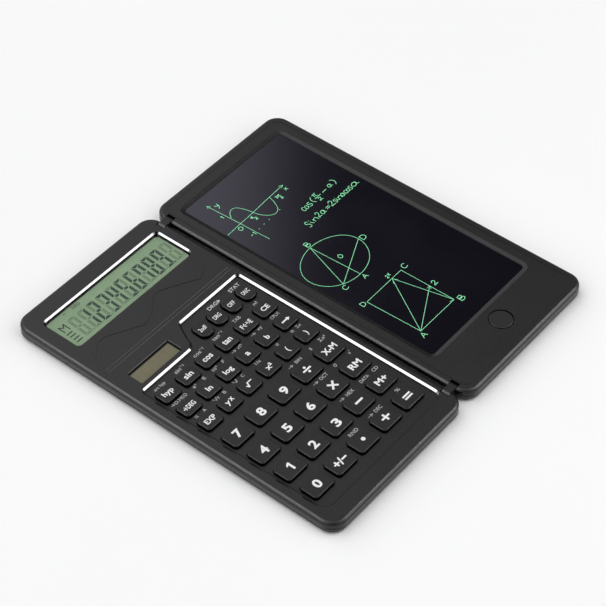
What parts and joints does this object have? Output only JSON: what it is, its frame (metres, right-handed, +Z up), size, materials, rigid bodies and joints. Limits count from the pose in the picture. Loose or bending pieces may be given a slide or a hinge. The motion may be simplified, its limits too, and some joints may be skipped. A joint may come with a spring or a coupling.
{
  "type": "folding calculator with writing tablet",
  "caption": "Book-style folding scientific calculator: sprung keypad, display and solar window on one half, pressure-writing tablet with erase button on the other.",
  "frame": {"origin": "centre of the opened-flat footprint, on the table under the feet", "axes": "+X across the fold from the calculator half to the tablet half, +Y along the fold towards the display, +Z up"},
  "size_m": [0.17, 0.17, 0.0064],
  "materials": {
    "shell_plastic": "matte, fine spark-eroded texture, polished bevels",
    "key_plastic": "satin black with printed white legends",
    "clear_window": "clear glossy",
    "display_glass": "satin grey-green display",
    "solar_glass": "glossy dark cells with fine lines",
    "circuit_board": "solder-masked board",
    "contact_sheet": "translucent sheet with domes",
    "bright_steel": "plated steel",
    "foot_rubber": "matte rubber",
    "writing_film": "glossy near-black film"
  },
  "bodies": {
    "calculator": {"base_tray": "shell_plastic", "keypad_cover": "shell_plastic", "lcd_window": "clear_window", "lcd_module": "display_glass", "solar_cell": "solar_glass", "main_board": "circuit_board", "dome_sheet": "contact_sheet", "base_cell": "bright_steel", "base_battery_door": "shell_plastic", "base_feet": "foot_rubber"},
    "hinge": {"hinge_links": "shell_plastic", "hinge_pins": "bright_steel"},
    "tablet": {"tablet_tray": "shell_plastic", "tablet_bezel": "shell_plastic", "writing_film": "writing_film", "tablet_board": "circuit_board", "tablet_cell": "bright_steel"},
    "erase_button": {"erase_button": "key_plastic"},
    "key_second": {"key_second": "key_plastic"},
    "key_drg": {"key_drg": "key_plastic"},
    "key_off": {"key_off": "key_plastic"},
    "key_on": {"key_on": "key_plastic"},
    "key_hyp": {"key_hyp": "key_plastic"},
    "key_sin": {"key_sin": "key_plastic"},
    "key_cos": {"key_cos": "key_plastic"},
    "key_tan": {"key_tan": "key_plastic"},
    "key_notation": {"key_notation": "key_plastic"},
    "key_clear_entry": {"key_clear_entry": "key_plastic"},
    "key_degrees": {"key_degrees": "key_plastic"},
    "key_ln": {"key_ln": "key_plastic"},
    "key_log": {"key_log": "key_plastic"},
    "key_a": {"key_a": "key_plastic"},
    "key_b": {"key_b": "key_plastic"},
    "key_backspace": {"key_backspace": "key_plastic"},
    "key_exponent": {"key_exponent": "key_plastic"},
    "key_power": {"key_power": "key_plastic"},
    "key_root": {"key_root": "key_plastic"},
    "key_square": {"key_square": "key_plastic"},
    "key_open_bracket": {"key_open_bracket": "key_plastic"},
    "key_close_bracket": {"key_close_bracket": "key_plastic"},
    "key_7": {"key_7": "key_plastic"},
    "key_8": {"key_8": "key_plastic"},
    "key_9": {"key_9": "key_plastic"},
    "key_divide": {"key_divide": "key_plastic"},
    "key_store": {"key_store": "key_plastic"},
    "key_4": {"key_4": "key_plastic"},
    "key_5": {"key_5": "key_plastic"},
    "key_6": {"key_6": "key_plastic"},
    "key_multiply": {"key_multiply": "key_plastic"},
    "key_recall": {"key_recall": "key_plastic"},
    "key_1": {"key_1": "key_plastic"},
    "key_2": {"key_2": "key_plastic"},
    "key_3": {"key_3": "key_plastic"},
    "key_minus": {"key_minus": "key_plastic"},
    "key_memory_add": {"key_memory_add": "key_plastic"},
    "key_0": {"key_0": "key_plastic"},
    "key_sign": {"key_sign": "key_plastic"},
    "key_point": {"key_point": "key_plastic"},
    "key_plus": {"key_plus": "key_plastic"},
    "key_equals": {"key_equals": "key_plastic"}
  },
  "joints": [
    {"name": "link_fold", "type": "hinge", "parent": "calculator", "child": "hinge", "pos_m": [-0.002, 0, 0.0046], "axis": [0, -1, 0], "range_deg": [0, 90]},
    {"name": "tablet_fold", "type": "hinge", "parent": "hinge", "child": "tablet", "pos_m": [0.002, 0, 0.0046], "axis": [0, -1, 0], "range_deg": [0, 90]},
    {"name": "erase_press", "type": "slide", "parent": "tablet", "child": "erase_button", "axis": [0, 0, -1], "range_m": [0, 0.0006], "stiffness_N_per_m": 400},
    {"name": "key_second_press", "type": "slide", "parent": "calculator", "child": "key_second", "axis": [0, 0, -1], "range_m": [0, 0.0007], "stiffness_N_per_m": 400},
    {"name": "key_drg_press", "type": "slide", "parent": "calculator", "child": "key_drg", "axis": [0, 0, -1], "range_m": [0, 0.0007], "stiffness_N_per_m": 400},
    {"name": "key_off_press", "type": "slide", "parent": "calculator", "child": "key_off", "axis": [0, 0, -1], "range_m": [0, 0.0007], "stiffness_N_per_m": 400},
    {"name": "key_on_press", "type": "slide", "parent": "calculator", "child": "key_on", "axis": [0, 0, -1], "range_m": [0, 0.0007], "stiffness_N_per_m": 400},
    {"name": "key_hyp_press", "type": "slide", "parent": "calculator", "child": "key_hyp", "axis": [0, 0, -1], "range_m": [0, 0.0007], "stiffness_N_per_m": 400},
    {"name": "key_sin_press", "type": "slide", "parent": "calculator", "child": "key_sin", "axis": [0, 0, -1], "range_m": [0, 0.0007], "stiffness_N_per_m": 400},
    {"name": "key_cos_press", "type": "slide", "parent": "calculator", "child": "key_cos", "axis": [0, 0, -1], "range_m": [0, 0.0007], "stiffness_N_per_m": 400},
    {"name": "key_tan_press", "type": "slide", "parent": "calculator", "child": "key_tan", "axis": [0, 0, -1], "range_m": [0, 0.0007], "stiffness_N_per_m": 400},
    {"name": "key_notation_press", "type": "slide", "parent": "calculator", "child": "key_notation", "axis": [0, 0, -1], "range_m": [0, 0.0007], "stiffness_N_per_m": 400},
    {"name": "key_clear_entry_press", "type": "slide", "parent": "calculator", "child": "key_clear_entry", "axis": [0, 0, -1], "range_m": [0, 0.0007], "stiffness_N_per_m": 400},
    {"name": "key_degrees_press", "type": "slide", "parent": "calculator", "child": "key_degrees", "axis": [0, 0, -1], "range_m": [0, 0.0007], "stiffness_N_per_m": 400},
    {"name": "key_ln_press", "type": "slide", "parent": "calculator", "child": "key_ln", "axis": [0, 0, -1], "range_m": [0, 0.0007], "stiffness_N_per_m": 400},
    {"name": "key_log_press", "type": "slide", "parent": "calculator", "child": "key_log", "axis": [0, 0, -1], "range_m": [0, 0.0007], "stiffness_N_per_m": 400},
    {"name": "key_a_press", "type": "slide", "parent": "calculator", "child": "key_a", "axis": [0, 0, -1], "range_m": [0, 0.0007], "stiffness_N_per_m": 400},
    {"name": "key_b_press", "type": "slide", "parent": "calculator", "child": "key_b", "axis": [0, 0, -1], "range_m": [0, 0.0007], "stiffness_N_per_m": 400},
    {"name": "key_backspace_press", "type": "slide", "parent": "calculator", "child": "key_backspace", "axis": [0, 0, -1], "range_m": [0, 0.0007], "stiffness_N_per_m": 400},
    {"name": "key_exponent_press", "type": "slide", "parent": "calculator", "child": "key_exponent", "axis": [0, 0, -1], "range_m": [0, 0.0007], "stiffness_N_per_m": 400},
    {"name": "key_power_press", "type": "slide", "parent": "calculator", "child": "key_power", "axis": [0, 0, -1], "range_m": [0, 0.0007], "stiffness_N_per_m": 400},
    {"name": "key_root_press", "type": "slide", "parent": "calculator", "child": "key_root", "axis": [0, 0, -1], "range_m": [0, 0.0007], "stiffness_N_per_m": 400},
    {"name": "key_square_press", "type": "slide", "parent": "calculator", "child": "key_square", "axis": [0, 0, -1], "range_m": [0, 0.0007], "stiffness_N_per_m": 400},
    {"name": "key_open_bracket_press", "type": "slide", "parent": "calculator", "child": "key_open_bracket", "axis": [0, 0, -1], "range_m": [0, 0.0007], "stiffness_N_per_m": 400},
    {"name": "key_close_bracket_press", "type": "slide", "parent": "calculator", "child": "key_close_bracket", "axis": [0, 0, -1], "range_m": [0, 0.0007], "stiffness_N_per_m": 400},
    {"name": "key_7_press", "type": "slide", "parent": "calculator", "child": "key_7", "axis": [0, 0, -1], "range_m": [0, 0.0007], "stiffness_N_per_m": 400},
    {"name": "key_8_press", "type": "slide", "parent": "calculator", "child": "key_8", "axis": [0, 0, -1], "range_m": [0, 0.0007], "stiffness_N_per_m": 400},
    {"name": "key_9_press", "type": "slide", "parent": "calculator", "child": "key_9", "axis": [0, 0, -1], "range_m": [0, 0.0007], "stiffness_N_per_m": 400},
    {"name": "key_divide_press", "type": "slide", "parent": "calculator", "child": "key_divide", "axis": [0, 0, -1], "range_m": [0, 0.0007], "stiffness_N_per_m": 400},
    {"name": "key_store_press", "type": "slide", "parent": "calculator", "child": "key_store", "axis": [0, 0, -1], "range_m": [0, 0.0007], "stiffness_N_per_m": 400},
    {"name": "key_4_press", "type": "slide", "parent": "calculator", "child": "key_4", "axis": [0, 0, -1], "range_m": [0, 0.0007], "stiffness_N_per_m": 400},
    {"name": "key_5_press", "type": "slide", "parent": "calculator", "child": "key_5", "axis": [0, 0, -1], "range_m": [0, 0.0007], "stiffness_N_per_m": 400},
    {"name": "key_6_press", "type": "slide", "parent": "calculator", "child": "key_6", "axis": [0, 0, -1], "range_m": [0, 0.0007], "stiffness_N_per_m": 400},
    {"name": "key_multiply_press", "type": "slide", "parent": "calculator", "child": "key_multiply", "axis": [0, 0, -1], "range_m": [0, 0.0007], "stiffness_N_per_m": 400},
    {"name": "key_recall_press", "type": "slide", "parent": "calculator", "child": "key_recall", "axis": [0, 0, -1], "range_m": [0, 0.0007], "stiffness_N_per_m": 400},
    {"name": "key_1_press", "type": "slide", "parent": "calculator", "child": "key_1", "axis": [0, 0, -1], "range_m": [0, 0.0007], "stiffness_N_per_m": 400},
    {"name": "key_2_press", "type": "slide", "parent": "calculator", "child": "key_2", "axis": [0, 0, -1], "range_m": [0, 0.0007], "stiffness_N_per_m": 400},
    {"name": "key_3_press", "type": "slide", "parent": "calculator", "child": "key_3", "axis": [0, 0, -1], "range_m": [0, 0.0007], "stiffness_N_per_m": 400},
    {"name": "key_minus_press", "type": "slide", "parent": "calculator", "child": "key_minus", "axis": [0, 0, -1], "range_m": [0, 0.0007], "stiffness_N_per_m": 400},
    {"name": "key_memory_add_press", "type": "slide", "parent": "calculator", "child": "key_memory_add", "axis": [0, 0, -1], "range_m": [0, 0.0007], "stiffness_N_per_m": 400},
    {"name": "key_0_press", "type": "slide", "parent": "calculator", "child": "key_0", "axis": [0, 0, -1], "range_m": [0, 0.0007], "stiffness_N_per_m": 400},
    {"name": "key_sign_press", "type": "slide", "parent": "calculator", "child": "key_sign", "axis": [0, 0, -1], "range_m": [0, 0.0007], "stiffness_N_per_m": 400},
    {"name": "key_point_press", "type": "slide", "parent": "calculator", "child": "key_point", "axis": [0, 0, -1], "range_m": [0, 0.0007], "stiffness_N_per_m": 400},
    {"name": "key_plus_press", "type": "slide", "parent": "calculator", "child": "key_plus", "axis": [0, 0, -1], "range_m": [0, 0.0007], "stiffness_N_per_m": 400},
    {"name": "key_equals_press", "type": "slide", "parent": "calculator", "child": "key_equals", "axis": [0, 0, -1], "range_m": [0, 0.0007], "stiffness_N_per_m": 400}
  ]
}
